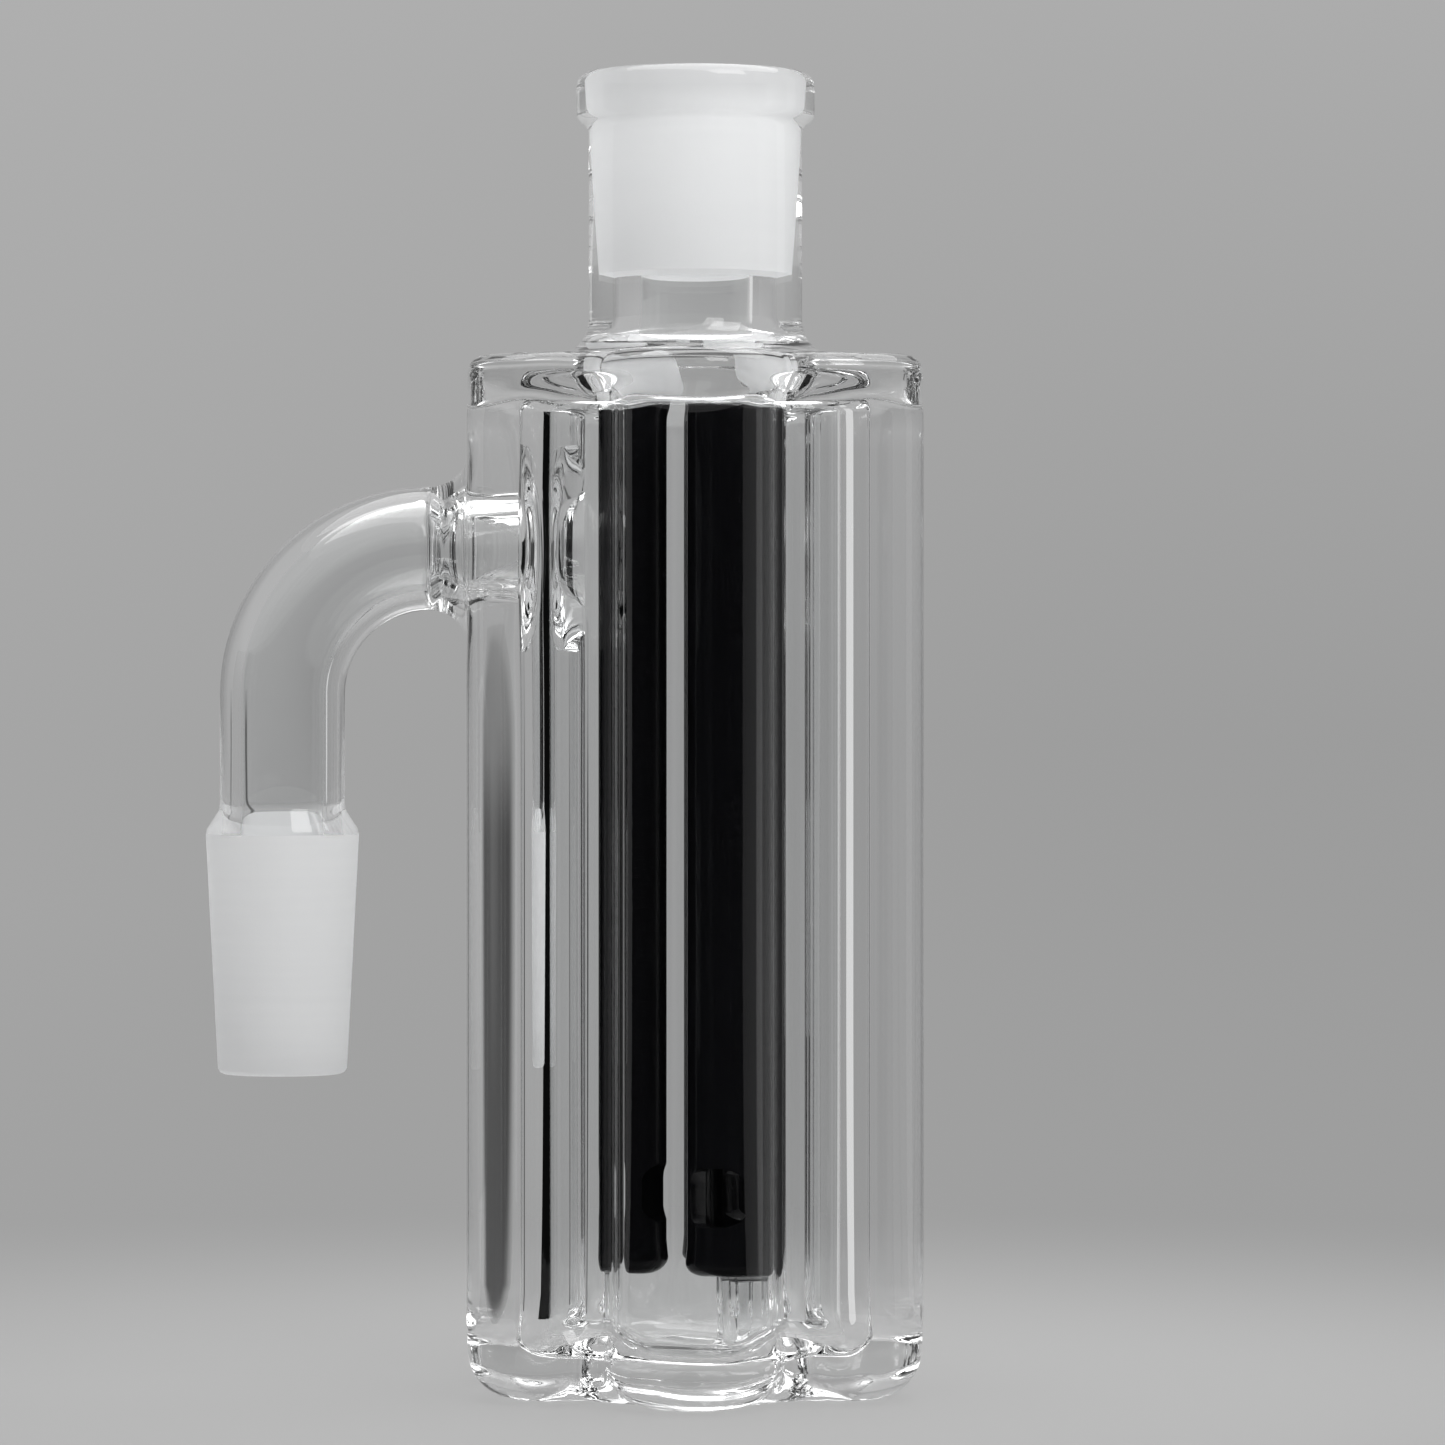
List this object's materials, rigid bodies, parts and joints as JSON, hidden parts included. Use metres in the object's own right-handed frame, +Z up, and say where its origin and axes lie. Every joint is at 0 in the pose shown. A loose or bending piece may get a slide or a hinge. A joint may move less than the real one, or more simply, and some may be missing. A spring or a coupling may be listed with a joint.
{
  "type": "fluted glass percolating trap",
  "caption": "Fluted glass trap with a ground socket on top, black slotted percolator tubes inside and a bent side arm that ends in a ground cone.",
  "frame": {"origin": "middle of the base, on the axis of the body and of the top socket", "axes": "+Z up along the body towards the socket, -X towards the side arm, -Y the front"},
  "size_m": [0.0688, 0.0478, 0.1264],
  "materials": {
    "clear_glass": "clear borosilicate glass, fire polished",
    "ground_glass": "clear tube with a frosted ground taper",
    "black_glass": "opaque black glass, glossy"
  },
  "bodies": {
    "root": {"socket_collar": "ground_glass", "ground_socket": "ground_glass", "neck_tube": "clear_glass", "neck_flare": "clear_glass", "roof": "clear_glass", "body_shell": "clear_glass", "floor": "clear_glass", "arm_front": "black_glass", "arm_back": "black_glass", "arm_left": "black_glass", "post_front": "clear_glass", "post_back": "clear_glass", "post_left": "clear_glass", "outlet_collar": "clear_glass", "outlet_bend": "clear_glass", "outlet_drop": "clear_glass", "cone_shoulder": "clear_glass", "ground_cone": "ground_glass"}
  },
  "joints": []
}
